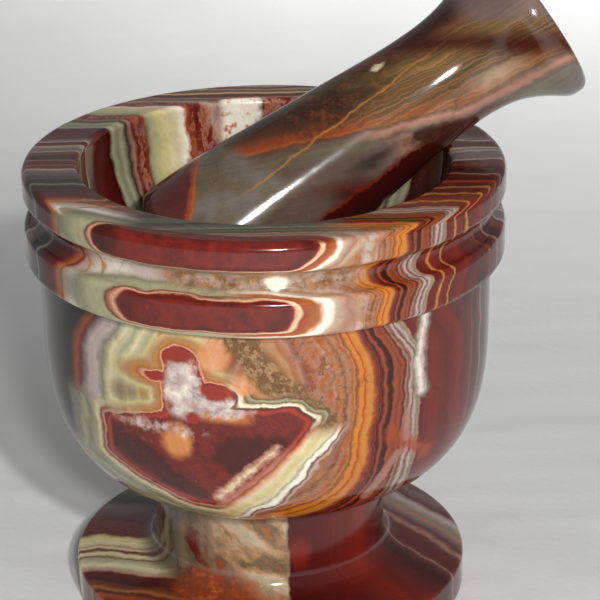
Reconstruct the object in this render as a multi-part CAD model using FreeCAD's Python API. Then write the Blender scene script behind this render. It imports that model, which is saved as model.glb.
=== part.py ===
"""Turned onyx mortar and pestle.

The mortar is a footed bowl: a thick-walled cup with two beads under its rim, cemented onto a
turned pedestal foot. The pestle is one loose stone that leans across the mouth, its domed
butt down in the cup and its shaft on the edge of the mouth.

Millimetres, +Z up. The origin is the centre of the flat face under the foot.
"""
import FreeCAD
import Part
import math
import os

V = FreeCAD.Vector
ORIGIN = V(0, 0, 0)
X_AXIS = V(1, 0, 0)
Y_AXIS = V(0, 1, 0)
Z_AXIS = V(0, 0, 1)

# ---- driving dimensions ----------------------------------------------------------------
mortar_height = 98.0        # underside of the foot to the flat rim
bead_radius = 50.0          # both beads under the rim: the mortar is 100 across
clearance = 0.2             # left between the resting pestle and the edge of the mouth

# rim and mouth
mouth_radius = 38.4         # wall of the cup just under the lip
lip_round = 1.2             # edge between the cup's wall and the flat rim
rim_round = 1.8             # outer edge of the flat rim

# the cup inside: a squared-off half ellipse, where a power of 2 would be a plain ellipse
cup_depth = 35.6            # rim to the lowest point inside
cup_power = 2.3

# the two beads and the groove between them, counted down from the rim
upper_bead_height = 6.2
groove_height = 5.3
lower_bead_height = 8.1
groove_depth = 3.2
bead_round = 1.5

# the bowl's outside below the beads
body_radius = 47.1
body_wall = 9.7             # upright part of the wall
body_depth = 42.6           # from the upright wall down to where the bottom would close
body_power_across = 3.04
body_power_down = 3.5
curve_points = 9            # points that carry each rounded outline

# cement joint between the bowl and the foot
stem_radius = 25.0
cement_thickness = 0.5
cement_setback = 0.4        # the cement stops this short of the stem's surface

# foot
foot_radius = 42.6
foot_edge_height = 7.7      # height of the foot's upper edge
foot_edge_round = 0.9
foot_top_slope = 7.0        # degrees that the foot's top falls towards its edge
cove_radius = 4.5           # between the stem and the foot's top
base_round = 1.0

# pestle, in stations along its axis from the middle of the domed butt
pestle_length = 96.0
butt_radius = 16.6
butt_dome_radius = 24.5
butt_edge_round = 3.0
head_radius = 18.9
head_widest_station = 92.2
head_edge_station = 94.3
head_edge_round = 1.9
shaft_outline = [           # station and radius: belly, taper, neck and trumpet flare
    (10.0, 16.8),
    (33.0, 15.3),
    (53.0, 13.25),
    (70.0, 11.85),
    (77.5, 12.3),
    (84.0, 14.4),
    (89.0, 17.8),
]

# how the pestle lies: its axis passes over the mortar's axis and leans on the mouth
lean_angle = 33.3           # degrees above the horizontal
lean_bearing = 11.4         # degrees from +X towards +Y, seen from above
rest_station = 64.0         # station that lies over the edge of the mouth
rest_radius = 12.2          # the shaft's radius there

# ---- heights that follow ---------------------------------------------------------------
upper_bead_bottom = mortar_height - upper_bead_height
lower_bead_top = upper_bead_bottom - groove_height
lower_bead_bottom = lower_bead_top - lower_bead_height
body_top = lower_bead_bottom - body_wall


# ---- helpers ---------------------------------------------------------------------------
def point(radius, height):
    """A point of an outline, in the half plane that is turned about Z."""
    return V(radius, 0, height)


def line(start, end):
    return Part.LineSegment(start, end).toShape()


def arc_through(start, middle, end):
    return Part.Arc(start, middle, end).toShape()


def on_circle(centre, radius, degrees):
    turn = math.radians(degrees)
    return centre + V(radius * math.cos(turn), 0, radius * math.sin(turn))


def arc(centre, radius, start_degrees, end_degrees):
    """Arc about a centre, with angles from outwards (0) towards up (90)."""
    middle_degrees = 0.5 * (start_degrees + end_degrees)
    return arc_through(on_circle(centre, radius, start_degrees),
                       on_circle(centre, radius, middle_degrees),
                       on_circle(centre, radius, end_degrees))


def smooth(points, start_direction, end_direction):
    """One smooth curve through the points, with set directions at its ends."""
    curve = Part.BSplineCurve()
    curve.interpolate(Points=points, InitialTangent=start_direction, FinalTangent=end_direction)
    return curve.toShape()


def quarter_point(radius, depth, powers, top, turn):
    """Point of a squared-off quarter ellipse, 0 at its upright side and pi/2 at its pole."""
    across, down = powers
    return point(radius * max(math.cos(turn), 0.0) ** (2 / across),
                 top - depth * math.sin(turn) ** (2 / down))


def quarter_curve(radius, depth, powers, top, last_turn, end_direction=None):
    """Rounded outline from the upright side down to last_turn."""
    turns = [last_turn * index / (curve_points - 1) for index in range(curve_points)]
    points = [quarter_point(radius, depth, powers, top, turn) for turn in turns]
    if end_direction is None:
        before = quarter_point(radius, depth, powers, top, last_turn - 0.001)
        end_direction = points[-1] - before
    return smooth(points, V(0, 0, -1), end_direction)


def turned(edges):
    """Solid turned about Z from the edges of one closed outline."""
    outline = Part.Wire(Part.sortEdges(edges)[0])
    solid = Part.Solid(Part.Face(outline).revolve(ORIGIN, Z_AXIS, 360).Shells[0])
    if solid.Volume < 0:
        solid.reverse()
    return solid


def ring_edges(solid, height, radius):
    """The circular edges of a turned solid at one height and radius."""
    found = []
    for edge in solid.Edges:
        box = edge.BoundBox
        level = abs(box.ZMin - height) < 0.01 and abs(box.ZMax - height) < 0.01
        if level and abs(box.XMax - radius) < 0.01:
            found.append(edge)
    return found


# ---- the mortar ------------------------------------------------------------------------
def stem_turn():
    """Where the bowl's rounded bottom meets the stem, as a turn of quarter_point."""
    return math.acos((stem_radius / body_radius) ** (body_power_across / 2))


def joint_height():
    """Height of the flat under the bowl, where its rounded bottom reaches the stem."""
    powers = (body_power_across, body_power_down)
    return quarter_point(body_radius, body_depth, powers, body_top, stem_turn()).z


def make_bowl():
    """The cup: flat rim, two beads with a groove between, rounded body and the hollow inside."""
    flat_under = joint_height()
    powers = (body_power_across, body_power_down)
    corner = bead_radius - bead_round
    rim_corner = point(bead_radius - rim_round, mortar_height - rim_round)
    upper_corner = point(corner, upper_bead_bottom + bead_round)
    lower_corner_top = point(corner, lower_bead_top - bead_round)
    lower_corner_bottom = point(corner, lower_bead_bottom + bead_round)
    groove_bottom = point(bead_radius - groove_depth, upper_bead_bottom - 0.42 * groove_height)
    lip_centre = point(mouth_radius + lip_round, mortar_height - lip_round)
    cup_bottom = mortar_height - cup_depth
    cup_fall = lip_centre.z - cup_bottom
    outline = [
        line(point(0, flat_under), point(stem_radius, flat_under)),
        quarter_curve(body_radius, body_depth, powers, body_top, stem_turn()),
        line(point(body_radius, body_top), point(body_radius, lower_bead_bottom)),
        line(point(body_radius, lower_bead_bottom), point(corner, lower_bead_bottom)),
        arc(lower_corner_bottom, bead_round, -90, 0),
        line(lower_corner_bottom + V(bead_round, 0, 0), lower_corner_top + V(bead_round, 0, 0)),
        arc(lower_corner_top, bead_round, 0, 90),
        arc_through(point(corner, lower_bead_top), groove_bottom, point(corner, upper_bead_bottom)),
        arc(upper_corner, bead_round, -90, 0),
        line(upper_corner + V(bead_round, 0, 0), rim_corner + V(rim_round, 0, 0)),
        arc(rim_corner, rim_round, 0, 90),
        line(point(rim_corner.x, mortar_height), point(lip_centre.x, mortar_height)),
        arc(lip_centre, lip_round, 90, 180),
        quarter_curve(mouth_radius, cup_fall, (cup_power, cup_power), lip_centre.z,
                      math.pi / 2, V(-1, 0, 0)),
        line(point(0, cup_bottom), point(0, flat_under)),
    ]
    return turned(outline)


def make_cement():
    """The thin layer of cement that holds the bowl on the stem."""
    radius = stem_radius - cement_setback
    layer = Part.makeCylinder(radius, cement_thickness)
    layer.translate(V(0, 0, joint_height() - cement_thickness))
    return layer


def make_foot():
    """The pedestal: a straight stem, a cove, and a disc whose top falls gently to its edge."""
    stem_top = joint_height() - cement_thickness
    slope = math.radians(foot_top_slope)
    edge_centre = point(foot_radius - foot_edge_round, foot_edge_height - foot_edge_round)
    cove_across = stem_radius + cove_radius
    reach = foot_edge_round + cove_radius + (edge_centre.x - cove_across) * math.sin(slope)
    cove_centre = point(cove_across, edge_centre.z + reach / math.cos(slope))
    base_centre = point(foot_radius - base_round, base_round)
    outline = [
        line(point(0, 0), point(base_centre.x, 0)),
        arc(base_centre, base_round, -90, 0),
        line(base_centre + V(base_round, 0, 0), edge_centre + V(foot_edge_round, 0, 0)),
        arc(edge_centre, foot_edge_round, 0, 90 - foot_top_slope),
        line(on_circle(edge_centre, foot_edge_round, 90 - foot_top_slope),
             on_circle(cove_centre, cove_radius, 270 - foot_top_slope)),
        arc(cove_centre, cove_radius, 180, 270 - foot_top_slope),
        line(point(stem_radius, cove_centre.z), point(stem_radius, stem_top)),
        line(point(stem_radius, stem_top), point(0, stem_top)),
        line(point(0, stem_top), point(0, 0)),
    ]
    return turned(outline)


# ---- the pestle ------------------------------------------------------------------------
def make_pestle():
    """One stone: domed butt, belly, taper to a neck, and a flared head to hold."""
    dome_rise = butt_dome_radius - math.sqrt(butt_dome_radius ** 2 - butt_radius ** 2)
    dome_middle = on_circle(point(0, butt_dome_radius), butt_dome_radius,
                            -90 + 0.5 * math.degrees(math.asin(butt_radius / butt_dome_radius)))
    side = [point(butt_radius, dome_rise)]
    side += [point(radius, station) for station, radius in shaft_outline]
    side += [point(head_radius, head_widest_station)]
    head_edge = point(head_radius, head_edge_station)
    head_rise = pestle_length - head_edge_station
    outline = [
        arc_through(point(0, 0), dome_middle, point(butt_radius, dome_rise)),
        smooth(side, V(0.1, 0, 1), V(0.05, 0, 1)),
        line(side[-1], head_edge),
        arc_through(head_edge, point(0.5 * head_radius, head_edge_station + 0.75 * head_rise),
                    point(0, pestle_length)),
        line(point(0, pestle_length), point(0, 0)),
    ]
    stone = turned(outline)
    stone = stone.makeFillet(butt_edge_round, ring_edges(stone, dome_rise, butt_radius))
    stone = stone.makeFillet(head_edge_round, ring_edges(stone, head_edge_station, head_radius))
    return stone.Solids[0]


def lay_down(pestle):
    """Lean the upright pestle on the edge of the mouth, pointing up along the lean bearing."""
    lean = math.radians(lean_angle)
    lip_centre = point(mouth_radius + lip_round, mortar_height - lip_round)
    away = lip_round + clearance + rest_radius
    over_lip = lip_centre + V(-math.sin(lean), 0, math.cos(lean)) * away
    butt = over_lip - V(math.cos(lean), 0, math.sin(lean)) * rest_station
    pestle.rotate(ORIGIN, Y_AXIS, 90 - lean_angle)
    pestle.translate(butt)
    pestle.rotate(ORIGIN, Z_AXIS, lean_bearing)
    return pestle


# ---- write every piece -----------------------------------------------------------------
def save(shape, name):
    shape.exportStep("parts/" + name + ".step")
    box = shape.BoundBox
    print(name, "valid:", shape.isValid(), "solids:", len(shape.Solids),
          "volume:", round(shape.Volume), "height:", round(box.ZMin, 2), round(box.ZMax, 2))


os.makedirs("parts", exist_ok=True)
bowl = make_bowl()
cement = make_cement()
foot = make_foot()
pestle = lay_down(make_pestle())
save(bowl, "bowl")
save(cement, "cement_layer")
save(foot, "foot")
save(pestle, "pestle")
print("gap between pestle and bowl:", round(bowl.distToShape(pestle)[0], 3))
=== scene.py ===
import math

import bpy
from mathutils import Matrix, Vector

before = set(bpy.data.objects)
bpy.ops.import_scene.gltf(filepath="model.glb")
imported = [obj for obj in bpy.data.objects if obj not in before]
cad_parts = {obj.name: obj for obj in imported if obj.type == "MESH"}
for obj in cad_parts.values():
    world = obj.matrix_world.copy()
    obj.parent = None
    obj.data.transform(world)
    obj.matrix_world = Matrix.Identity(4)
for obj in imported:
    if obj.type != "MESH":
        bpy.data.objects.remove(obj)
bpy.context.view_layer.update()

MM = 0.001
STONE_IOR = 1.55
# In millimetres: how far apart the hair cracks are, and how wide a worn edge with its painted highlight is.
CRACK_SPACING = 15
WORN_LIT_WIDTH = 1.6
# A colour ramp holds no more stops than this.
MOST_STOPS = 32


# ------------------------ colours of the stone

# Red, green and blue from 0 to 255, as a screen shows them.
PALETTE = {
    "black brown": (30, 16, 12),
    "dark maroon": (62, 15, 13),
    "maroon": (92, 25, 21),
    "mauve maroon": (92, 41, 37),
    "brick": (120, 33, 21),
    "red": (148, 42, 26),
    "bright red": (176, 58, 36),
    "peach": (218, 158, 126),
    "pink": (190, 134, 114),
    "dusty pink": (164, 116, 98),
    "lilac": (186, 166, 160),
    "white": (240, 230, 212),
    "cream": (220, 204, 164),
    "yellow cream": (206, 192, 132),
    "green cream": (164, 160, 126),
    "grey green": (128, 124, 100),
    "dark green": (84, 84, 66),
    "olive": (118, 90, 42),
    "dark olive": (72, 55, 34),
    "ochre": (184, 124, 56),
    "amber": (206, 120, 30),
    "orange": (216, 140, 76),
    "rust": (158, 64, 26),
    "orange brown": (164, 98, 50),
    "tan": (170, 128, 88),
    "brown": (110, 58, 33),
    "dark brown": (58, 31, 21),
    "grey": (116, 106, 98),
    "grey olive": (104, 92, 72),
    "grey brown": (94, 76, 66),
    "grey mauve": (122, 102, 98),
    "dark grey": (50, 42, 36),
    "beige": (192, 168, 140),
    "cloth": (247, 247, 245),
    "cloth shade": (240, 240, 238),
}


def linear(name):
    """A palette colour as the shader wants it."""
    channels = [c / 255 for c in PALETTE[name]]
    return [c / 12.92 if c <= 0.04045 else ((c + 0.055) / 1.055) ** 2.4 for c in channels] + [1.0]


# ------------------------ arithmetic on node outputs


class Field:
    """A number, vector or colour that varies over a surface: one node output, with arithmetic."""

    def __init__(self, stone, socket):
        self.stone = stone
        self.socket = socket

    def __add__(self, other):
        return self.stone.math("ADD", self, other)

    def __sub__(self, other):
        return self.stone.math("SUBTRACT", self, other)

    def __rsub__(self, other):
        return self.stone.math("SUBTRACT", other, self)

    def __mul__(self, other):
        return self.stone.math("MULTIPLY", self, other)

    def __truediv__(self, other):
        return self.stone.math("DIVIDE", self, other)

    def __neg__(self):
        return self.stone.math("MULTIPLY", self, -1.0)


class Stone:
    """A polished stone material. Its place fields x, y and z are millimetres in the row frame."""

    def __init__(self, name):
        self.material = bpy.data.materials.new(name)
        self.material.use_nodes = True
        self.tree = self.material.node_tree
        self.shader = self.tree.nodes["Principled BSDF"]
        metres = Field(self, self.tree.nodes.new("ShaderNodeTexCoord").outputs["Object"])
        self.place = self.vector_math("SCALE", metres, scale=1 / MM)
        split = self.tree.nodes.new("ShaderNodeSeparateXYZ")
        self.feed(split.inputs[0], self.place)
        self.x, self.y, self.z = (Field(self, out) for out in split.outputs)
        self.r = self.math("SQRT", self.x * self.x + self.y * self.y)
        self.face = self.vector(self.x, 0.0, self.z)
        self.colour = None

    def feed(self, socket, value):
        """Links a field to an input, or sets the input to a constant."""
        if isinstance(value, Field):
            self.tree.links.new(value.socket, socket)
        else:
            socket.default_value = value

    def math(self, operation, *values):
        node = self.tree.nodes.new("ShaderNodeMath")
        node.operation = operation
        for socket, value in zip(node.inputs, values):
            self.feed(socket, value)
        return Field(self, node.outputs[0])

    def vector_math(self, operation, *vectors, scale=None):
        node = self.tree.nodes.new("ShaderNodeVectorMath")
        node.operation = operation
        for socket, value in zip(node.inputs, vectors):
            self.feed(socket, value)
        if scale is not None:
            self.feed(node.inputs["Scale"], scale)
        kind = "Value" if operation in ("LENGTH", "DISTANCE", "DOT_PRODUCT") else "Vector"
        return Field(self, node.outputs[kind])

    def vector(self, x, y, z):
        node = self.tree.nodes.new("ShaderNodeCombineXYZ")
        for socket, value in zip(node.inputs, (x, y, z)):
            self.feed(socket, value)
        return Field(self, node.outputs[0])

    def rise(self, value, low, high):
        """0 below low, 1 above high, and a smooth step between them."""
        node = self.tree.nodes.new("ShaderNodeMapRange")
        node.interpolation_type = "SMOOTHSTEP"
        self.feed(node.inputs["Value"], value)
        node.inputs["From Min"].default_value = low
        node.inputs["From Max"].default_value = high
        return Field(self, node.outputs[0])

    def fall(self, value, low, high):
        return 1.0 - self.rise(value, low, high)

    def between(self, value, low, high):
        """1 between two smooth steps, each a (start, end)."""
        return self.rise(value, *low) * self.fall(value, *high)

    def near(self, value, centre, width):
        """1 where the value is at the centre, and 0 once it is a width away."""
        return self.fall(self.math("ABSOLUTE", value - centre), 0.0, width)

    def noise(self, size, detail=2.0, seed=0.0, stretch=(1.0, 1.0, 1.0), sharp=0.5, where=None):
        """Smooth noise from about -1 to 1, with lumps of that size in millimetres."""
        node = self.tree.nodes.new("ShaderNodeTexNoise")
        node.inputs["Detail"].default_value = detail
        node.inputs["Roughness"].default_value = sharp
        node.inputs["Scale"].default_value = 1.0
        scaled = self.vector_math("MULTIPLY", where or self.place, [s / size for s in stretch])
        self.feed(node.inputs["Vector"], self.vector_math("ADD", scaled, [seed, 0.7 * seed, -1.3 * seed]))
        return (Field(self, node.outputs[0]) - 0.5) * 3.0

    def lines(self, value, size, seed=0.0, detail=1.0):
        """Noise from about -1 to 1 that changes only with the value: stripes of that width."""
        node = self.tree.nodes.new("ShaderNodeTexNoise")
        node.noise_dimensions = "1D"
        node.inputs["Detail"].default_value = detail
        node.inputs["Scale"].default_value = 1.0
        self.feed(node.inputs["W"], value / size + seed)
        return (Field(self, node.outputs[0]) - 0.5) * 3.0

    def grains(self, size, seed=0.0, where=None):
        """A random number from 0 to 1 for each grain of about that size."""
        node = self.tree.nodes.new("ShaderNodeTexVoronoi")
        node.inputs["Scale"].default_value = 1.0
        scaled = self.vector_math("SCALE", where or self.place, scale=1 / size)
        self.feed(node.inputs["Vector"], self.vector_math("ADD", scaled, [seed, seed, seed]))
        split = self.tree.nodes.new("ShaderNodeSeparateColor")
        self.feed(split.inputs[0], Field(self, node.outputs["Color"]))
        return Field(self, split.outputs[0])

    def bands(self, value, colours):
        """Colours at stated values, as {value: colour name} in rising order."""
        stops = list(colours.items())
        if len(stops) > MOST_STOPS:
            middle = len(stops) // 2
            lower = self.bands(value, dict(stops[: middle + 1]))
            upper = self.bands(value, dict(stops[middle:]))
            return self.over(lower, upper, self.math("GREATER_THAN", value, stops[middle][0]))
        low, high = stops[0][0], stops[-1][0]
        node = self.tree.nodes.new("ShaderNodeValToRGB")
        elements = node.color_ramp.elements
        while len(elements) < len(stops):
            elements.new(1.0)
        for element, (position, name) in zip(elements, stops):
            element.position = (position - low) / (high - low)
            element.color = linear(name)
        self.feed(node.inputs[0], (value - low) / (high - low))
        return Field(self, node.outputs[0])

    def over(self, below, above, share):
        """The colour above laid over the colour below, by a share from 0 to 1."""
        node = self.tree.nodes.new("ShaderNodeMix")
        node.data_type = "RGBA"
        node.clamp_factor = True
        self.feed(node.inputs[0], share)
        for socket, value in ((node.inputs[6], below), (node.inputs[7], above)):
            self.feed(socket, linear(value) if isinstance(value, str) else value)
        return Field(self, node.outputs[2])

    def lay(self, above, share):
        """Lays a colour over the stone's colour so far, by a share from 0 to 1."""
        self.colour = self.over(self.colour, above, share)

    def shade(self, colour, amount):
        """The colour made lighter or darker by a share that varies over the surface."""
        factor = amount + 1.0
        return self.vector_math("MULTIPLY", colour, self.vector(factor, factor, factor))

    # Shapes, as distances in millimetres that are below zero inside. Points on the face are (x, z).

    def oval(self, where, centre, radii):
        offset = self.vector_math("DIVIDE", self.vector_math("SUBTRACT", where, centre), radii)
        return (self.vector_math("LENGTH", offset) - 1.0) * min(radii)

    def spot(self, centre, radii):
        """An oval on the face, where the radius along Y makes no difference."""
        return self.oval(self.face, (centre[0], 0, centre[1]), (radii[0], max(radii), radii[1]))

    def side(self, start, end):
        """How far a place is to the left of the line from start to end, seen along +Y."""
        start, end = Vector((start[0], 0, start[1])), Vector((end[0], 0, end[1]))
        along = (end - start).normalized()
        normal = Vector((-along.z, 0.0, along.x))
        return self.vector_math("DOT_PRODUCT", self.face, list(normal)) - normal.dot(start)

    def outline(self, corners, rounding):
        """A convex patch on the face, with its corners clockwise as seen along +Y."""
        sides = [self.side(a, b) for a, b in zip(corners, corners[1:] + corners[:1])]
        whole = sides[0]
        for other in sides[1:]:
            whole = self.math("SMOOTH_MAX", whole, other, rounding)
        return whole

    def streak(self, start, end, half_width):
        """A line on the face, of that half width between two points."""
        a, b = Vector((start[0], 0, start[1])), Vector((end[0], 0, end[1]))
        run = b - a
        offset = self.vector_math("SUBTRACT", self.face, list(a))
        along = self.vector_math("DOT_PRODUCT", offset, list(run / run.length_squared))
        along = self.math("MINIMUM", self.math("MAXIMUM", along, 0.0), 1.0)
        nearest = self.vector_math("SCALE", list(run), scale=along)
        return self.vector_math("DISTANCE", offset, nearest) - half_width

    def joined(self, first, second, rounding=1.0):
        return self.math("SMOOTH_MIN", first, second, rounding)

    def worn_lit_edges(self, radius, height, edges):
        """1 on the turned edges, each a (radius, height) circle, fading away to both sides: the edges are
        worn, and lightened as a painted highlight.
        """
        nearest = None
        for edge_radius, edge_height in edges:
            away = self.vector(radius - edge_radius, height - edge_height, 0.0)
            distance = self.vector_math("LENGTH", away)
            nearest = distance if nearest is None else self.math("MINIMUM", nearest, distance)
        return self.fall(nearest + self.noise(1.2, detail=3, seed=91.0) * 0.5, 0.2, WORN_LIT_WIDTH)

    def cracks(self):
        """1 on healed hair cracks, which wander through the stone."""
        node = self.tree.nodes.new("ShaderNodeTexVoronoi")
        node.feature = "DISTANCE_TO_EDGE"
        node.inputs["Scale"].default_value = 1.0
        sway = self.noise(6.0, detail=3, seed=81.0) * 3.0
        bent = self.vector_math("ADD", self.place, self.vector(sway, -sway, sway))
        self.feed(node.inputs["Vector"], self.vector_math("SCALE", bent, scale=1 / CRACK_SPACING))
        some = self.rise(self.noise(12.0, detail=2, seed=83.0), 0.0, 0.6)
        return self.fall(Field(self, node.outputs["Distance"]), 0.004, 0.014) * some

    def age(self, tone, roughness, bump, wear_and_edge_light):
        """Polishes a stone of varying tone that has small pits, hair cracks and worn edges, which are
        rougher and lightened as a painted highlight.
        """
        pits = self.rise(self.noise(0.55, detail=2, seed=95.0), 1.05, 1.25)
        cracks = self.cracks()
        scratches = self.noise(0.7, detail=4, seed=97.0, stretch=(1.0, 1.0, 6.0)) * 0.0012
        # The lighter turned edges are a painted highlight; their extra roughness is wear.
        colour = self.shade(self.shade(self.colour, tone), wear_and_edge_light * 0.16 - pits * 0.3 - cracks * 0.35)
        roughness = roughness + wear_and_edge_light * 0.08 + pits * 0.25 + cracks * 0.1
        self.polish(colour, roughness, bump + scratches - pits * 0.03 - cracks * 0.004)

    def polish(self, colour, roughness, bump):
        """Connects the finished fields. The bump is in millimetres."""
        self.feed(self.shader.inputs["Base Color"], colour)
        self.feed(self.shader.inputs["Roughness"], roughness)
        node = self.tree.nodes.new("ShaderNodeBump")
        node.inputs["Distance"].default_value = MM
        self.feed(node.inputs["Height"], bump)
        self.feed(self.shader.inputs["Normal"], Field(self, node.outputs[0]))
        self.shader.inputs["IOR"].default_value = STONE_IOR


# ------------------------ the bowl's stone

# In millimetres: the cup's wall, the body at its widest, and the turned edges as (radius, height).
CUP_RADIUS = 38.4
BODY_RADIUS = 47.1
BOWL_EDGES = [(49.4, 97.5), (49.7, 92.0), (49.7, 86.2), (49.7, 78.8), (38.8, 97.8)]
# On the back, the sheets close to rings about this place.
RINGS_CENTRE = (8.0, 0.0, 60.0)


class BowlStone(Stone):
    """Sheets that stand across the view, a vein, a two-lobed figure, and red lenses on the beads."""

    def __init__(self):
        super().__init__("bowl_onyx")
        # Everything in the stone wanders, sideways and up, so no border is a drawn line.
        self.slow = self.noise(11, detail=1, seed=3.1)
        self.slow_up = self.noise(11, detail=1, seed=8.4)
        self.quick = self.noise(2.8, detail=4, seed=5.7, sharp=0.6)
        self.quick_up = self.noise(2.8, detail=4, seed=12.9, sharp=0.6)
        self.fine = self.noise(1.6, detail=3, seed=21, sharp=0.65)
        self.uneven = self.noise(9, detail=2, seed=15)
        self.bent_x = self.x + self.slow * 0.5 + self.quick * 0.55
        self.bent_z = self.z + self.slow_up * 0.5 + self.quick_up * 0.55
        self.face = self.vector(self.bent_x, 0, self.bent_z)
        self.level = self.z + self.slow_up * 0.5 + self.quick_up * 0.15
        self.left = self.fall(self.x, -14, -4)
        self.front = self.fall(self.y, -20, -12)
        self.beads = self.rise(self.z, 77.6, 79)
        self.top = self.rise(self.z, 96.6, 97.9)
        self.across = self.across_sheets()
        self.depth = self.depth_sheets()
        self.figure = self.figure_shape()
        self.lenses = self.lens_shape()
        self.left_beads = self.left_of_beads()
        self.hazy = self.hazy_stone()
        self.granular = self.granular_stone()

    def across_sheets(self):
        """Names each sheet by how far out from the middle it leaves the body at its widest.

        The sheets stand across the view, sag towards the foot, and are shifted on the beads and the top.
        """
        reach = self.math("SQRT", self.math("MAXIMUM", BODY_RADIUS**2 - self.y * self.y, 0))
        drop = self.math("MAXIMUM", 57 - self.z, 0)
        sag = drop * drop * 0.0147
        on_bead = self.near(self.z, 80, 12) * 4.5
        return reach + self.slow * 0.6 + self.quick * 0.6 - sag + on_bead - self.top * 5

    def depth_sheets(self):
        """How far back each sheet stands. On the left the sheets bend towards the front."""
        bend = self.rise(-self.x, 10, 40) * 16 - (1 - self.top) * 5
        return self.y + self.slow + self.quick * 0.4 - bend * self.fall(self.y, -10, 20)

    def lay_sheets(self):
        """The front's sheets: one set on the right, one on the left, and one on the left of the beads."""
        # In the left set, the black brown and dark grey stops at the body's left edge, from -48 to -39.8,
        # are a painted dark reflection.
        left = self.bands(-self.across, {
            -48: "black brown", -43.5: "dark grey", -42: "black brown", -39.8: "black brown",
            -39: "brown", -38.2: "rust", -37.4: "mauve maroon", -36.6: "grey mauve", -35.4: "lilac",
            -33.8: "lilac", -32.6: "grey green", -31: "cream", -29: "green cream", -27.6: "cream",
            -26: "green cream", -25.2: "yellow cream", -24.4: "ochre", -23: "tan", -20: "cream",
            -12: "orange", -5: "tan", 0: "beige",
        })
        right = self.bands(self.across, {
            0: "tan", 3: "orange brown", 5: "tan", 5.8: "orange brown", 7: "dusty pink", 8.2: "brown",
            9.2: "rust", 10.2: "tan", 10.8: "brown", 12: "orange brown", 12.8: "beige", 13.2: "rust",
            14.2: "ochre", 15: "brown", 15.8: "tan", 16.6: "rust", 17: "ochre", 17.4: "brown",
            17.8: "amber", 18.7: "amber", 19: "rust", 19.4: "amber", 20.4: "ochre", 21: "rust",
            21.8: "maroon", 22.4: "dark maroon", 23: "rust", 23.5: "dark maroon", 24.2: "black brown",
            24.6: "rust", 25.6: "brown", 26: "rust", 26.6: "dark brown", 27: "dusty pink", 27.5: "brown",
            28.1: "lilac", 28.6: "brown", 29.2: "lilac", 29.6: "grey green", 30.2: "dusty pink",
            30.5: "maroon", 33: "brick", 36: "maroon", 38.6: "brick", 40: "maroon", 42: "mauve maroon",
            44.2: "dark maroon",
        })
        self.colour = self.over(right, left, self.left)
        self.lay(self.left_beads, self.rise(self.z, 77, 79) * self.left)
        thin = self.lines(self.across + self.fine * 0.25, 0.7, seed=17, detail=3)
        busy = self.near(self.across, 17, 13) * self.fall(self.y, -24, -18)
        self.lay("dark brown", self.rise(thin, 0.35, 0.75) * busy * 0.7)
        self.lay("ochre", self.fall(thin, -0.8, -0.4) * busy * 0.6)

    def left_of_beads(self):
        """The beads' left side, where the sheets are cut one behind the other."""
        return self.bands(-self.depth, {
            8: "grey mauve", 20: "mauve maroon", 20.8: "lilac", 22: "grey mauve", 28: "dark grey",
            30.4: "dark grey", 31: "grey green", 32: "dark grey", 34: "dark maroon", 38: "maroon",
            39.2: "rust", 40: "orange brown", 40.6: "maroon", 41.2: "pink", 42.2: "lilac", 43.6: "white",
            44.8: "lilac", 46: "green cream", 47.4: "grey green", 49: "green cream", 54: "green cream",
        })

    def hazy_stone(self):
        """Pale brown and lilac stone without clear stripes."""
        return self.bands(self.noise(3, detail=4, seed=29, sharp=0.6), {
            -1: "brown", -0.5: "dusty pink", -0.2: "tan", 0.1: "lilac", 0.4: "beige", 0.8: "grey green",
        })

    def granular_stone(self):
        """Green and brown grains with threads through them."""
        grain = self.grains(0.9, seed=4, where=self.vector(self.bent_x, self.y, self.bent_z))
        slanted = self.vector(self.bent_x + self.bent_z * 0.5, self.y * 0.5, self.bent_z * 0.35)
        threads = self.noise(1.6, detail=4, seed=27, sharp=0.7, where=slanted)
        return self.bands(grain * 0.25 + self.fine * 0.2 + threads * 0.35, {
            -0.45: "black brown", -0.25: "dark brown", -0.05: "olive", 0.06: "brown", 0.16: "olive",
            0.26: "tan", 0.34: "grey olive", 0.46: "ochre", 0.58: "green cream", 0.75: "cream",
        })

    def add_veins(self):
        """Stone that breaks the sheets on the front, beside the figure and over it."""
        # Broken orange, brown and grey stone right of the figure.
        mottled = self.bands(self.noise(2.8, detail=5, seed=23, sharp=0.65), {
            -1.2: "dark brown", -0.7: "brown", -0.4: "rust", -0.15: "orange brown", 0.1: "dusty pink",
            0.25: "brown", 0.4: "orange brown", 0.6: "tan", 0.8: "lilac", 0.95: "rust", 1.3: "dark brown",
        })
        some = self.rise(self.noise(5, detail=2, seed=25), -1, 0) * self.front
        self.lay(mottled, self.near(self.across, 10, 11) * some * self.rise(self.x, 2, 8))
        # On the beads the same sheets are greyer near the lenses, and gold lines edge a dark red sheet.
        on_beads = self.beads * self.front
        haze = self.near(self.across, 9.5, 5) * self.rise(self.x, 5, 9)
        self.lay(self.hazy, haze * on_beads)
        gold = self.near(self.across, 32.6, 0.5) + self.near(self.across, 35.4, 0.5)
        self.lay("ochre", gold * on_beads)

        # The granular vein, and an olive patch at the far left.
        vein = self.joined(
            self.streak((-5.6, 78), (1, 68.5), 3), self.streak((1, 68.5), (11.2, 59.5), 2.4), 2
        )
        self.lay(self.granular, self.fall(vein + self.quick_up * 0.8, -0.9, 0.9))
        olive = self.spot((-28.4, 62.6), (3.2, 2.4))
        self.lay("olive", self.fall(olive, -1.6, 1.2) * 0.7 * self.front)

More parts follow.
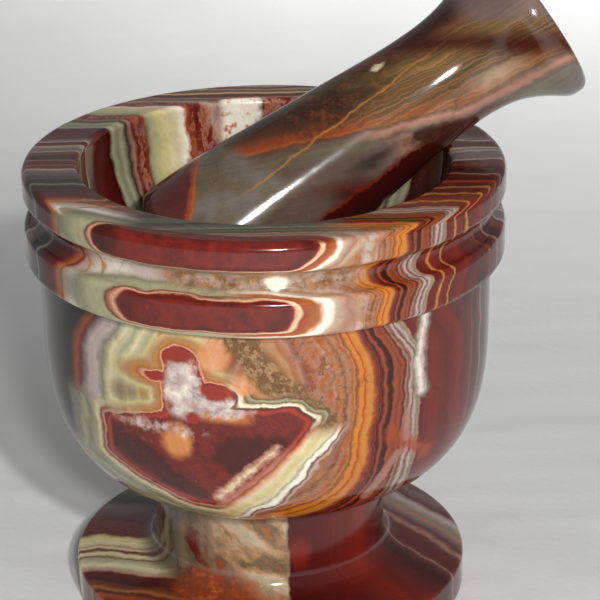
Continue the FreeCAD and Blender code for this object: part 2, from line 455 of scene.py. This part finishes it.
    def figure_shape(self):
        """The two-lobed figure on the body: a wide lens with a head over it."""
        lens = self.outline([
            (-32.5, 56), (-20, 60.5), (-3, 63), (5, 62.8), (9, 60), (6.2, 55.4), (-9.4, 38.5),
            (-15, 39), (-25, 43), (-32, 47.5),
        ], 1.2)
        head = self.joined(self.spot((-17, 71.8), (3.3, 2.8)), self.spot((-16.4, 64), (4.4, 9)))
        head = self.joined(head, self.spot((-21.8, 67.8), (2.3, 0.9)), 0.6)
        head = self.joined(head, self.spot((-10.6, 65), (4.2, 2.6)), 0.8)
        return self.joined(lens, head, 2.2)

    def add_outlines(self):
        """The figure's outlines, which differ from side to side."""
        outlying = self.figure * (self.uneven * 0.3 + 1)
        low_left = self.bands(outlying, {
            0: "brick", 0.3: "pink", 0.6: "dusty pink", 0.9: "brown", 1.2: "tan", 1.8: "cream",
            2.8: "green cream", 4.2: "grey green", 5.2: "green cream", 6.4: "grey green",
            8.5: "grey mauve",
        })
        low_right = self.bands(outlying, {
            0: "red", 0.3: "orange brown", 1: "peach", 1.8: "cream", 3.2: "yellow cream", 4.4: "cream",
            4.9: "green cream", 5.3: "white", 5.9: "white", 6.3: "brown", 6.8: "lilac",
            7.2: "orange brown", 7.8: "grey mauve", 8.3: "rust", 9: "orange brown", 10.5: "brown",
        })
        upper = self.bands(outlying, {
            0: "bright red", 0.25: "peach", 0.5: "orange brown", 1: "ochre", 1.6: "tan",
            2.6: "yellow cream", 3.4: "green cream", 4.4: "yellow cream",
        })
        tip = self.bands(outlying, {
            0: "dark brown", 0.25: "brown", 0.5: "white", 0.9: "cream", 1.2: "olive", 1.8: "green cream",
            2.2: "dark olive", 2.8: "tan", 3.2: "cream", 3.6: "olive", 5: "orange brown",
        })
        low, high = self.fall(self.z, 56, 61), self.rise(self.z, 57, 61)
        west, east = self.fall(self.x, -9, -5), self.rise(self.x, -9, -5)
        self.lay(low_left, self.fall(self.figure, 7, 8.5) * low * self.fall(self.x, -11, -6))
        near_right = self.fall(self.figure, 7.4, 9.4) * self.rise(self.x, -11, -6)
        self.lay(low_right, near_right * self.fall(self.z, 55, 59))
        self.lay(upper, self.fall(self.figure, 1.6, 4) * high * west)
        self.lay(tip, self.fall(self.figure + self.quick_up * 0.5, 1.6, 3.2) * high * east)
        orange = self.joined(self.spot((-10.6, 73.6), (3.6, 3.8)), self.spot((-5.2, 67.4), (2.6, 2.4)))
        orange = orange + self.quick * 0.6 + self.fine * 0.4
        warm_stone = self.over("orange", "peach", self.rise(self.quick_up, -0.6, 0.8))
        self.lay(warm_stone, self.fall(orange, -1.4, 0.6) * self.rise(self.figure, 0.3, 0.7) * 0.9)

    def add_figure(self):
        """The figure's red stone, with dark and orange patches, crystals and a pale slash."""
        inside = self.bands(self.noise(4, detail=5, seed=31, sharp=0.65), {
            -1: "dark maroon", -0.4: "maroon", 0: "brick", 0.25: "maroon", 0.5: "red", 0.8: "brick",
            1.1: "rust",
        })
        dark_left = self.outline([
            (-31.5, 55.5), (-24, 53), (-12, 42), (-12, 39.5), (-20, 42), (-31.5, 49),
        ], 0.8)
        dark_right = self.outline([
            (-9, 57), (5, 57.4), (4, 53), (-6.5, 47), (-11.5, 51),
        ], 0.8)
        dark = self.joined(dark_left, dark_right, 0.5)
        inside = self.over(inside, "dark maroon", self.fall(dark + self.quick_up * 1.2, -1.4, 1) * 0.85)
        inside = self.over(inside, "bright red", self.near(self.figure + self.quick * 0.3, -0.7, 0.8) * 0.7)
        warm = self.joined(self.spot((-18, 54), (3, 3.6)), self.spot((-9, 60.6), (5, 1.4)), 2)
        inside = self.over(inside, "orange", self.fall(warm + self.quick_up, -1.4, 1) * 0.9)
        crystals = self.joined(self.spot((-16.4, 65.4), (3.6, 7)), self.spot((-10.6, 62.6), (5.6, 2.2)), 2)
        crystals = self.joined(crystals, self.spot((-23.5, 56.6), (5, 0.7)), 1.5)
        white = self.bands(self.noise(2.6, detail=4, seed=41, sharp=0.55), {
            -1: "bright red", -0.6: "pink", -0.2: "lilac", 0.6: "white", 1.1: "lilac",
        })
        red_specks = self.rise(self.noise(2.6, detail=3, seed=44), 0.35, 0.75)
        white = self.over(white, "bright red", red_specks * 0.8)
        crystals = crystals + self.quick * 1.1 + self.fine * 0.9
        inside = self.over(inside, white, self.fall(crystals, -1, 0.9))
        spots = self.joined(self.spot((-14.6, 59.6), (1.4, 1.4)), self.spot((-17.2, 72.8), (2.6, 1.6)))
        spots = self.joined(spots, self.spot((-10.6, 65.6), (2.2, 1.6)), 0.3)
        spots = self.joined(spots, self.spot((-22, 67.8), (1.8, 1.2)), 0.3)
        inside = self.over(inside, "red", self.fall(spots + self.fine * 0.4, -0.5, 0.5))
        slash = self.streak((1.5, 54), (-3.2, 49), 0.1)
        slash = self.joined(slash, self.streak((-3.2, 49), (-10, 41.4), 0.4), 0.6)
        slash = slash + self.fine * 0.8 + self.quick * 0.6
        inside = self.over(inside, "pink", self.fall(slash, 0.3, 1.4))
        inside = self.over(inside, "cream", self.fall(slash, -0.4, 0.5))
        edge = self.side((-9.4, 38.5), (6.2, 55.4)) + self.quick * 0.6
        edge = self.fall(edge, 0.2, 1.6) * self.fall(self.z, 50, 56)
        inside = self.over(inside, "pink", edge * 0.7)
        self.lay(inside, self.fall(self.figure, -0.12, 0.12))

    def add_right_side(self):
        """A white crystal line far right on the body, with rust and pink lines below it."""
        shard = self.joined(
            self.streak((31, 77), (29.6, 68), 0.5), self.streak((29.6, 68), (30.4, 61), 0.7)
        )
        shard = shard + self.fine * 0.4
        self.lay("grey green", self.fall(shard, 0.4, 1.4) * 0.8)
        self.lay("lilac", self.fall(shard, 0, 0.6))
        self.lay("white", self.fall(shard, -0.6, 0.1) * 0.8)
        rusty = self.streak((24.5, 53.5), (31, 46), 1.4) + self.fine * 1.2
        self.lay("rust", self.fall(rusty, -0.8, 1) * 0.8)
        pale = self.joined(
            self.streak((27.6, 58), (27.2, 51), 0.25), self.streak((25.6, 48), (19.5, 38), 0.6)
        )
        self.lay("dusty pink", self.fall(pale + self.quick * 0.3, 0, 0.8) * 0.9)

    def lens_shape(self):
        """The lenses where the two beads stand proud of a red sheet."""
        slant = (self.level - 95) * self.rise(self.bent_x, -13, 5)
        slanted = self.vector(self.bent_x - slant * 0.8, self.r, self.level)
        upper = self.oval(slanted, (-12.2, 50.4, 95.6), (21, 5.2, 7))
        upper = self.math("SMOOTH_MAX", upper, 92.6 - self.level, 0.6)
        upright = self.vector(self.bent_x, self.r, self.level)
        lower = self.oval(upright, (-11.8, 50.4, 83.2), (17.2, 3, 6.5))
        lower = self.math("SMOOTH_MAX", lower, 80 - self.level, 0.6)
        lower = self.math("SMOOTH_MAX", lower, self.level - 86.2, 0.6)
        return self.joined(upper, lower, 0.3)

    def add_lenses(self):
        """The red lenses with their outlines, and the groove between them with a white star that is a
        painted highlight.
        """
        lens_red = self.bands(self.noise(5, detail=5, seed=51, sharp=0.6), {
            -1: "dark maroon", -0.5: "maroon", 0: "brick", 0.4: "maroon", 0.7: "red", 1.2: "bright red",
        })
        lens_red = self.over(lens_red, "dark maroon", self.fall(self.x, -32, -26) * 0.85)
        lens_red = self.over(lens_red, "dark maroon", self.near(self.lenses, -0.35, 0.5) * 0.5)
        lens_right = self.bands(self.lenses * (self.uneven * 0.25 + 1), {
            0: "red", 0.08: "peach", 0.22: "cream", 0.34: "rust", 0.8: "orange brown", 0.9: "peach",
            1: "white", 1.2: "white", 1.35: "beige", 1.8: "dusty pink", 2.1: "beige", 3: "tan",
        })
        lens_left = self.bands(self.lenses, {
            0: "brick", 0.15: "peach", 0.35: "brown", 0.5: "green cream", 1: "green cream",
            1.6: "grey green", 3: "green cream",
        })
        on_beads = self.rise(self.z, 77.6, 79.2) * self.front
        self.lay(lens_left, self.fall(self.lenses, 1.4, 2.4) * on_beads * self.fall(self.x, -10, 0))
        self.lay(lens_right, self.fall(self.lenses, 1.7, 2.5) * on_beads * self.rise(self.x, -10, 0))
        groove = self.fall(self.r, 48.6, 49.6) * self.near(self.z, 89.2, 3.4)
        groove = groove * self.between(self.x, (-22, -16), (15, 22)) * self.front
        filling = self.rise(self.quick_up, -0.5, 0.4) * 0.7
        self.lay(self.over(self.granular, self.hazy, filling), groove)
        # The white star in the groove is a painted highlight, not stone.
        groove_highlight = self.spot((2, 88.9), (2.2, 1.3)) + self.fine * 0.4
        self.lay("white", self.fall(groove_highlight, -0.3, 0.6) * self.front)
        self.lay(lens_red, self.fall(self.lenses, -0.1, 0.1))

    def add_rim_top(self):
        """On the rim's top the same sheets are cut flat."""
        rim_top = self.bands(self.quick * 0.4 - self.y, {
            24: "maroon", 28: "grey brown", 29: "dark olive", 32: "grey brown", 34: "dark brown",
            35: "grey brown", 36.6: "dark green", 37.4: "grey olive", 38.2: "dark grey",
            39.4: "grey brown", 40.2: "dark green", 41: "grey green", 41.5: "dark olive",
            42.6: "grey olive", 43.4: "dark grey", 43.9: "tan", 44.4: "grey olive", 45.2: "dusty pink",
            45.8: "brick",
        })
        flat = self.rise(self.z, 97.2, 97.8) * self.rise(self.lenses, -0.1, 0.1) * self.front
        self.lay(rim_top, flat * self.between(self.x, (-32, -22), (8, 18)))

    def add_far_side(self):
        """The sides, the back and the inside show the same sheets edge on."""
        offset = self.vector_math("SUBTRACT", self.face, RINGS_CENTRE)
        rings = self.near(self.vector_math("LENGTH", offset), 0, 26) * 5
        far_depth = self.depth - rings * self.rise(self.y, 20, 36) * self.rise(self.r, 40, 46)
        # On the cup's wall they run straight down.
        in_cup = self.fall(self.r, 39.2, 39.8)
        within = in_cup * self.between(self.z, (50, 52), (97, 97.6))
        wall_depth = self.y * CUP_RADIUS / self.math("MAXIMUM", self.r, 4)
        wall_depth = wall_depth + self.slow * 0.8 + self.quick * 0.5
        far_depth = far_depth + (wall_depth - far_depth) * within
        far = self.bands(far_depth, {
            -24: "maroon", -22.8: "brick", -21.6: "dark brown", -20.7: "ochre", -20.2: "dark brown",
            -18.2: "brick", -17.2: "rust", -16.6: "dark maroon", -13.4: "maroon", -12.7: "dusty pink",
            -12.2: "dark brown", -9: "dark maroon", -6.5: "brown", -4.6: "mauve maroon", -3.8: "lilac",
            -3.2: "grey mauve", 0.4: "grey mauve", 1: "lilac", 1.8: "grey mauve", 2.8: "beige",
            3.6: "mauve maroon", 7: "maroon", 7.8: "lilac", 8.4: "grey mauve", 12: "mauve maroon",
            15: "maroon", 19.5: "dark maroon", 20.5: "green cream", 22: "grey green", 23: "green cream",
            24.5: "dark grey", 25.5: "dusty pink", 26.2: "maroon", 27.5: "rust", 28.5: "brown",
            29.3: "green cream", 31: "yellow cream", 33: "cream", 34: "white", 34.6: "rust", 36: "brown",
            37.2: "white", 38: "grey green", 39: "brown", 39.6: "pink", 40.2: "maroon",
            41.6: "dark maroon", 42.2: "rust", 42.8: "cream", 43.4: "ochre", 44: "brown",
            44.6: "grey olive", 45.4: "green cream", 46.2: "brick", 47: "maroon", 47.8: "peach",
            48.6: "grey green", 50: "cream",
        })
        flecks = self.noise(2, detail=4, seed=73, stretch=(1, 1, 0.5), sharp=0.65)
        mixed = self.bands(flecks, {
            -1: "dark maroon", -0.5: "maroon", -0.15: "brick", 0.1: "dusty pink", 0.3: "rust",
            0.6: "olive", 0.8: "brown", 1.1: "grey green",
        })
        far = self.over(far, mixed, self.near(far_depth, 36.4, 2.6) + self.near(far_depth, 27.4, 1.5))
        hole = in_cup * self.rise(self.y, 30, 33) * self.rise(self.bent_x, -10, -8)
        snow = self.bands(self.noise(2.2, detail=5, seed=71, sharp=0.65), {
            -1: "brick", -0.6: "rust", -0.35: "peach", -0.1: "white", 0.5: "white", 0.7: "lilac",
            1: "orange",
        })
        snow = self.over(snow, mixed, self.rise(self.bent_x + self.quick, -2, 0))
        far = self.over(far, snow, hole)
        self.lay(far, self.rise(self.y, -25, -19) * self.rise(self.x, 0, 2))
        self.lay(far, self.rise(self.y, -10, 2))
        self.lay(self.left_beads, within * self.fall(self.y, -10, 2))

    def build(self):
        self.lay_sheets()
        self.add_veins()
        self.add_outlines()
        self.add_figure()
        self.add_right_side()
        self.add_lenses()
        self.add_rim_top()
        self.add_far_side()
        growth = self.lines(self.depth, 0.8, seed=3) + self.lines(self.across, 1.1, seed=9, detail=2)
        clouds = self.noise(2.4, detail=5, seed=61, sharp=0.7) * 0.17
        roughness = self.noise(6, seed=2.2) * 0.02 + self.fine * 0.02 + 0.11
        bump = self.noise(14, seed=6) * 0.02
        self.age(growth * 0.07 + clouds, roughness, bump, self.worn_lit_edges(self.r, self.z, BOWL_EDGES))
        return self.material


# ------------------------ the foot's stone

# The turned edges as (radius, height), and the line in the stem left of which the stone is broken.
FOOT_EDGES = [(42.3, 7.4), (42.2, 0.4), (25, 32)]
STEM_SPLIT = (2.9, 4.1)


class FootStone(Stone):
    """Flat-lying sheets on the left, dark red ones on the right, and broken stone up the stem."""

    def __init__(self):
        super().__init__("foot_onyx")
        slow = self.noise(8, detail=1, seed=103.1)
        self.quick = self.noise(2.2, detail=3, seed=105.7, sharp=0.6)
        self.quick_up = self.noise(2.2, detail=3, seed=112.9, sharp=0.6)
        self.fine = self.noise(1.4, detail=4, seed=121, sharp=0.65)
        self.bent_x = self.x + slow * 0.5 + self.quick * 0.45
        self.bent_y = self.y + slow * 0.6 + self.quick * 0.35
        self.bent_z = self.z + self.quick_up * 0.45
        self.face = self.vector(self.bent_x, 0, self.bent_z)
        # Left of the stem the sheets lie across the view and dip towards the stem.
        self.dip = self.math("MAXIMUM", self.bent_x + 38, 0) * 0.42

    def lay_sheets(self):
        """Pale and dark sheets on the left of the stem, and dark red ones on the right."""
        left = self.bands(-self.bent_y - self.dip, {
            -42: "grey green", -34: "brown", -30: "grey green", -24: "dark green", -21: "dark grey",
            -18: "grey mauve", -12: "mauve maroon", -4: "maroon", -2.6: "yellow cream", 0.5: "cream",
            1.8: "tan", 2.6: "cream", 3.4: "brown", 4.2: "brown", 4.8: "cream", 5.8: "yellow cream",
            6.4: "brown", 7: "green cream", 9.5: "cream", 10.8: "green cream", 11.6: "pink",
            12.4: "maroon", 15.5: "dark maroon", 17.5: "brown", 18.4: "orange brown", 19.4: "dark brown",
            21: "rust", 23: "dark brown", 25: "white", 27: "tan", 30: "rust", 44: "brown",
        })
        # On the right the sheets turn, and are mostly dark red.
        right = self.bands(-self.bent_y - (self.bent_x - 28) * 1.1, {
            -60: "grey green", -44: "maroon", -38: "grey brown", -32: "maroon", -27: "grey mauve",
            -23: "mauve maroon", -20: "lilac", -16: "grey green", -14: "dusty pink", -12: "grey mauve",
            -9: "mauve maroon", -6: "dusty pink", -4.5: "mauve maroon", 0: "maroon", 3.4: "mauve maroon",
            4: "dusty pink", 4.8: "mauve maroon", 9: "dark maroon", 16: "maroon", 26: "brick",
            38: "maroon", 56: "dark maroon", 70: "brick",
        })
        self.colour = self.over(left, right, self.rise(self.bent_x, *STEM_SPLIT))

    def add_broken_stone(self):
        """The stem's cream stone, rusty lower down and brown on the left, with painted shade down the
        stem's left side.
        """
        slanted_x = self.bent_x * 0.35 - self.bent_z * 0.28
        slanted_z = self.bent_x * 0.62 + self.bent_z * 0.78
        slanted = self.vector(slanted_x, self.bent_y * 0.6, slanted_z)
        pieces = self.noise(4.5, detail=5, seed=107, sharp=0.55, where=slanted)
        broken = self.bands(pieces + self.fine * 0.15, {
            -1.2: "dark brown", -0.8: "brown", -0.5: "orange brown", -0.3: "grey olive", 0: "tan",
            0.3: "beige", 0.6: "green cream", 0.8: "yellow cream", 1.2: "cream",
        })
        rusty = self.bands(pieces + self.fine * 0.3, {
            -1.3: "black brown", -0.8: "dark brown", -0.4: "rust", -0.1: "grey mauve",
            0.15: "orange brown", 0.4: "grey brown", 0.7: "rust", 1: "tan", 1.4: "dark brown",
        })
        height = self.bent_z + self.bent_x * 0.45 + self.quick * 1.2
        broken = self.over(broken, rusty, self.fall(height, 7, 13))
        west = self.bands(pieces + self.fine * 0.2, {
            -1: "dark brown", -0.4: "brown", 0: "grey olive", 0.3: "maroon", 0.7: "brown", 1.1: "tan",
        })
        broken = self.over(broken, west, self.fall(self.bent_x + self.quick_up * 2, -17, -9))
        front = self.fall(self.r, 29, 33) * self.fall(self.y, -8, -2)
        left = self.between(self.bent_x, (-21, -17), STEM_SPLIT)
        self.lay(broken, front * left)
        rust = self.spot((-12, 9.5), (9, 3))
        burnt = self.bands(pieces + self.fine * 0.5, {
            -1: "black brown", -0.5: "rust", -0.1: "brown", 0.2: "rust", 0.5: "orange brown",
            0.9: "cream",
        })
        self.lay(burnt, self.fall(rust, -1.5, 1.5) * self.fall(self.y, -16, -10))
        # Dark brown down the stem's left side is painted shade.
        shaded_stem_side = self.fall(self.r, 26, 30) * self.fall(self.bent_x, -20, -17)
        self.lay("dark brown", shaded_stem_side * 0.8)
        spots = self.spot((6, 18), (2, 3))
        self.lay("brick", self.fall(spots, -1, 1.5) * self.fall(self.y, -10, -4))

    def build(self):
        self.lay_sheets()
        self.add_broken_stone()
        fine_lines = self.lines(self.bent_y + self.dip, 0.8, seed=13) * 0.1
        growth = fine_lines + self.lines(self.bent_y, 3, seed=19) * 0.06
        clouds = self.noise(3, detail=5, seed=161, sharp=0.65) * 0.12
        roughness = self.noise(5, seed=2) * 0.02 + self.fine * 0.02 + 0.12
        bump = self.noise(12, seed=6) * 0.02
        self.age(growth + clouds, roughness, bump, self.worn_lit_edges(self.r, self.z, FOOT_EDGES))
        return self.material


# ------------------------ the pestle's stone

# The lying pestle: its butt's end in millimetres, its direction from there, and the way it faces.
PESTLE_BUTT = Vector((-20.9, -4.2, 73))
PESTLE_LEAN, PESTLE_BEARING = math.radians(33.3), math.radians(11.4)
PESTLE_AXIS = Vector((
    math.cos(PESTLE_LEAN) * math.cos(PESTLE_BEARING),
    math.cos(PESTLE_LEAN) * math.sin(PESTLE_BEARING),
    math.sin(PESTLE_LEAN),
))
PESTLE_FRONT = Vector((-0.03, -0.94, 0.33))
# The neck's distance from the butt's end, and the turned edges as (radius, distance from there).
PESTLE_NECK = 70
PESTLE_EDGES = [(18.3, 93.9), (15.6, 9)]


class PestleStone(Stone):
    """Sheets and streaks along the pestle. Its places are along it, across it and out of its front."""

    def __init__(self):
        super().__init__("pestle_onyx")
        front = (PESTLE_FRONT - PESTLE_FRONT.dot(PESTLE_AXIS) * PESTLE_AXIS).normalized()
        slow = self.noise(9, detail=1, seed=203)
        self.quick = self.noise(2.4, detail=3, seed=205, sharp=0.6)
        self.fine = self.noise(1.2, detail=4, seed=207, sharp=0.65)
        self.length = self.part(PESTLE_AXIS)
        self.along = self.length + slow * 0.8 + self.quick * 0.5
        sway = self.noise(9, detail=1, seed=209) * 0.5 + self.noise(2.4, detail=3, seed=211) * 0.35
        self.upward = self.part(front.cross(PESTLE_AXIS)) + sway
        self.outward = self.part(front)
        # The sheets run less steeply past the neck.
        shaft = self.math("MINIMUM", self.along, PESTLE_NECK)
        past_neck = self.math("MAXIMUM", self.along - PESTLE_NECK, 0)
        slope = shaft * 0.42 + past_neck * 0.1
        hidden = self.math("MAXIMUM", -self.outward, 0)
        self.sheet = self.upward + slope + hidden * 0.9
        self.low_line = self.upward + (shaft - 50) * 0.4 + past_neck * 0.15

    def part(self, direction):
        """The distance from the butt's end in that direction."""
        return self.vector_math("DOT_PRODUCT", self.place, list(direction)) - direction.dot(PESTLE_BUTT)

    def lay_sheets(self):
        """Sheets along the pestle, with the butt's end and its stripe."""
        self.colour = self.bands(self.sheet, {
            -12: "maroon", -8: "dark brown", -4: "grey brown", 0: "dark maroon", 6: "dark brown",
            9: "dark brown", 10.5: "mauve maroon", 13: "grey brown", 17: "grey brown", 20: "grey olive",
            21.6: "grey brown", 22.3: "brown", 22.7: "orange brown", 23.1: "rust", 25: "brown",
            27.5: "dark brown", 29.5: "dark brown", 31: "dark olive", 33.4: "olive", 35: "dark olive",
            37: "brown", 39: "dark brown", 42: "dark maroon", 45: "brown", 47: "olive", 60: "maroon",
        })
        # The butt's end is plain grey brown, behind one rust stripe.
        grey = self.bands(self.noise(6, detail=4, seed=221), {
            -1: "grey brown", -0.2: "grey olive", 0.4: "grey", 0.9: "grey olive", 1.4: "grey mauve",
        })
        border = self.upward * 0.45 + self.along
        self.lay(grey, self.fall(border, 31, 35) * self.rise(self.upward, -4, -1))
        self.lay("grey brown", self.fall(border, 31, 38) * self.fall(self.upward, -4, -1))
        stripe = self.along - self.upward * 0.85
        self.lay("mauve maroon", self.fall(stripe, 5, 6))
        self.lay("rust", self.near(stripe, 6.2, 1.7))
        self.lay("orange brown", self.near(stripe, 6.6, 0.7) * 0.8)

    def add_streaks(self):
        """Fine streaks towards the head, over a pink stripe, with grey and dark red under that."""
        course = self.upward + self.along * 0.16 + self.quick * 0.3
        streaks = self.bands(self.lines(course, 0.9, seed=5, detail=3), {
            -1: "brown", -0.5: "grey olive", -0.1: "olive", 0.3: "tan", 0.6: "brown", 0.9: "tan",
            1.2: "green cream",
        })
        outer = self.rise(self.along, 46, 56) * self.rise(self.outward, -9, -3)
        upper = self.rise(self.low_line, 0.3, 1.5) * self.fall(self.upward, 5, 10)
        self.lay(streaks, upper * outer * 0.6)
        ragged = self.along + self.noise(2.4, detail=3, seed=215, sharp=0.6) * 2
        pale = self.near(self.low_line + self.quick * 0.8, 3.2, 2.4) * self.near(ragged, 80, 9)
        self.lay("beige", pale * 0.6)
        under = self.bands(self.along + self.quick * 2, {
            44: "grey brown", 52: "grey mauve", 56: "dusty pink", 59: "dark brown", 66: "dark maroon",
            76: "maroon", 84: "grey green", 92: "grey",
        })
        self.lay(under, self.fall(self.low_line, -2.4, -1) * outer * 0.85)
        self.lay("dark green", self.fall(self.low_line, -9, -6) * outer * 0.7)
        self.lay("pink", self.near(self.low_line + self.fine * 0.3, -0.3, 1.5) * outer * 0.8)
        band = self.upward + (self.along - 68) * 0.75
        dark = self.near(band, 10.5, 5) * self.rise(self.along, 62, 68)
        self.lay("dark maroon", dark * self.rise(self.outward, -6, 2) * 0.9)
        self.lay("grey mauve", self.rise(band, 15, 18) * self.rise(self.along, 78, 84) * 0.8)

    def add_patches(self):
        """Blotches with one straight gold line across them, a dark red underside that is the stone's red
        darkened as painted shade, and one crystal.
        """
        blotches = self.bands(self.noise(3.6, detail=5, seed=241, sharp=0.7), {
            -1: "black brown", -0.4: "dark olive", 0: "dark brown", 0.3: "brown", 0.6: "olive",
            1.2: "rust",
        })
        some = self.rise(self.noise(3, detail=3, seed=243), -0.7, 0.1)
        upper = self.near(self.along, 50, 24) * self.rise(self.upward, 2, 6)
        self.lay(blotches, upper * some * 0.8)
        gold = self.upward - self.along * 0.03 - 3.4 + self.fine * 0.2
        ends = self.between(self.along, (22, 28), (62, 78))
        self.lay("ochre", self.near(gold, 0, 0.4) * ends * 0.65)
        lower = self.near(self.upward + self.quick * 0.8, -5, 2.6) * self.near(self.along, 50, 12)
        self.lay("dark grey", lower * 0.8)
        below = self.upward + self.quick * 0.6 + self.fine * 0.6
        ends = self.between(self.along, (14, 20), (60, 70))
        # The dark maroon under the seam is the stone's red, darkened as painted shade on the underside.
        self.lay("dark maroon", self.fall(below, -9.2, -8.4) * ends)
        seam = self.near(below, -8.6, 0.8) * self.near(self.along, 45, 26)
        self.lay("brick", seam * 0.8)
        unrolled = self.vector(self.along, self.upward, 0)
        crystal = self.oval(unrolled, (61, 9.6, 0), (1.6, 0.6, 1.6))
        self.lay("cream", self.fall(crystal + self.fine * 0.4, -0.2, 0.3))

    def build(self):
        self.lay_sheets()
        self.add_streaks()
        self.add_patches()
        fine_lines = self.lines(self.sheet, 0.7, seed=23) * 0.08
        growth = fine_lines + self.lines(self.sheet, 2.5, seed=29) * 0.06
        clouds = self.noise(3, detail=5, seed=261, sharp=0.65) * 0.16
        roughness = self.noise(5, seed=2) * 0.02 + self.fine * 0.02 + 0.12
        offset = self.vector_math("SUBTRACT", self.place, list(PESTLE_BUTT))
        square = self.vector_math("DOT_PRODUCT", offset, offset) - self.length * self.length
        radius = self.math("SQRT", self.math("MAXIMUM", square, 0))
        bump = self.noise(12, seed=6) * 0.02
        self.age(growth + clouds, roughness, bump, self.worn_lit_edges(radius, self.length, PESTLE_EDGES))
        return self.material


# ------------------------ the cement, and every node's material


def cement():
    stone = Stone("cement")
    sand = stone.noise(0.8, detail=3, seed=301.0)
    colour = stone.bands(sand, {-1.2: "black brown", 0: "dark brown", 1.2: "dark olive"})
    stone.polish(colour, sand * 0.08 + 0.6, sand * 0.06)
    return stone.material


def dress(node, material):
    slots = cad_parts[node].data.materials
    for index in range(len(slots)):
        slots[index] = material


dress("bowl", BowlStone().build())
dress("foot", FootStone().build())
dress("pestle", PestleStone().build())
dress("cement_layer", cement())

# ------------------------ floor, camera and lights

# In metres.
FLOOR_RADIUS, COVE_RADIUS, WALL_HEIGHT = 1.6, 0.6, 1.4
FLOOR_SIDES, COVE_STEPS = 96, 16


def backdrop_cloth():
    """A pale cloth with faint folds."""
    cloth = Stone("backdrop_cloth")
    pale = cloth.bands(cloth.noise(60.0, detail=3), {-1: "cloth shade", 1: "cloth"})
    folds = cloth.noise(45.0, detail=1, seed=7.0, stretch=(1.0, 2.5, 1.0)) * 0.45
    cloth.polish(pale, cloth.noise(40.0) * 0.02 + 0.7, folds + cloth.noise(2.0) * 0.03)
    return cloth.material


def backdrop():
    """A round floor that curves up into a low wall all round."""
    profile = [(0.0, 0.0), (FLOOR_RADIUS, 0.0)]
    for step in range(1, COVE_STEPS + 1):
        angle = math.radians(90 * step / COVE_STEPS)
        out = FLOOR_RADIUS + COVE_RADIUS * math.sin(angle)
        profile.append((out, COVE_RADIUS * (1 - math.cos(angle))))
    profile.append((FLOOR_RADIUS + COVE_RADIUS, WALL_HEIGHT))
    turns = [math.tau * k / FLOOR_SIDES for k in range(FLOOR_SIDES)]
    vertices = [(r * math.cos(turn), r * math.sin(turn), z) for r, z in profile for turn in turns]
    faces = []
    for ring in range(len(profile) - 1):
        for k in range(FLOOR_SIDES):
            inner, outer = ring * FLOOR_SIDES, (ring + 1) * FLOOR_SIDES
            following = (k + 1) % FLOOR_SIDES
            faces.append((inner + k, inner + following, outer + following, outer + k))
    mesh = bpy.data.meshes.new("backdrop")
    mesh.from_pydata(vertices, [], faces)
    for polygon in mesh.polygons:
        polygon.use_smooth = True
    mesh.materials.append(backdrop_cloth())
    sheet = bpy.data.objects.new("backdrop", mesh)
    bpy.context.scene.collection.objects.link(sheet)


backdrop()

# The camera's place in metres, its turns in degrees, and its lens and sensor in millimetres.
CAMERA_PLACE = Vector((0.0, -0.4425, 0.253))
CAMERA_YAW, CAMERA_PITCH, CAMERA_ROLL = (math.radians(a) for a in (0.92, 22.95, -0.59))
CAMERA_LENS, CAMERA_SENSOR = 136.0, 36.0


def make_camera():
    data = bpy.data.cameras.new("camera")
    data.lens = CAMERA_LENS
    data.sensor_width = CAMERA_SENSOR
    data.clip_start, data.clip_end = 0.01, 20.0
    camera = bpy.data.objects.new("camera", data)
    bpy.context.scene.collection.objects.link(camera)
    ahead = Vector((
        math.sin(CAMERA_YAW) * math.cos(CAMERA_PITCH),
        math.cos(CAMERA_YAW) * math.cos(CAMERA_PITCH),
        -math.sin(CAMERA_PITCH),
    ))
    right = Vector((math.cos(CAMERA_YAW), -math.sin(CAMERA_YAW), 0.0))
    up = right.cross(ahead)
    rolled_right = math.cos(CAMERA_ROLL) * right + math.sin(CAMERA_ROLL) * up
    rolled_up = math.cos(CAMERA_ROLL) * up - math.sin(CAMERA_ROLL) * right
    turn = Matrix((rolled_right, rolled_up, -ahead)).transposed()
    camera.matrix_world = Matrix.Translation(CAMERA_PLACE) @ turn.to_4x4()
    bpy.context.scene.camera = camera


make_camera()


def area_light(name, place, target, size, power, mirrored=True, spread=180.0):
    """A round lamp. One that is not mirrored lights the stone but leaves no image in its polish."""
    data = bpy.data.lights.new(name, "AREA")
    data.shape = "DISK"
    data.size = size
    data.energy = power
    data.spread = math.radians(spread)
    light = bpy.data.objects.new(name, data)
    light.visible_glossy = mirrored
    bpy.context.scene.collection.objects.link(light)
    light.location = place
    light.rotation_euler = (Vector(target) - Vector(place)).to_track_quat("-Z", "Y").to_euler()


# A small lamp beside the camera makes the highlights, and the others light the stone and the floor.
area_light("lamp", (0.042, -0.465, 0.285), (0, 0, 0.06), size=0.04, power=1.0)
area_light("key_light", (0.24, -0.92, 0.6), (0, 0.1, 0), size=0.05, power=5.7, mirrored=False)
area_light(
    "floor_light", (0.2, 0.8, 0.8), (0.2, 0.64, 0), size=0.4, power=1.5, mirrored=False, spread=68.0
)

world = bpy.data.worlds.new("room")
world.use_nodes = True
room = world.node_tree.nodes["Background"]
room.inputs["Color"].default_value = (0.9, 0.92, 0.95, 1.0)
room.inputs["Strength"].default_value = 0.17
bpy.context.scene.world = world
bpy.context.scene.view_settings.view_transform = "Standard"
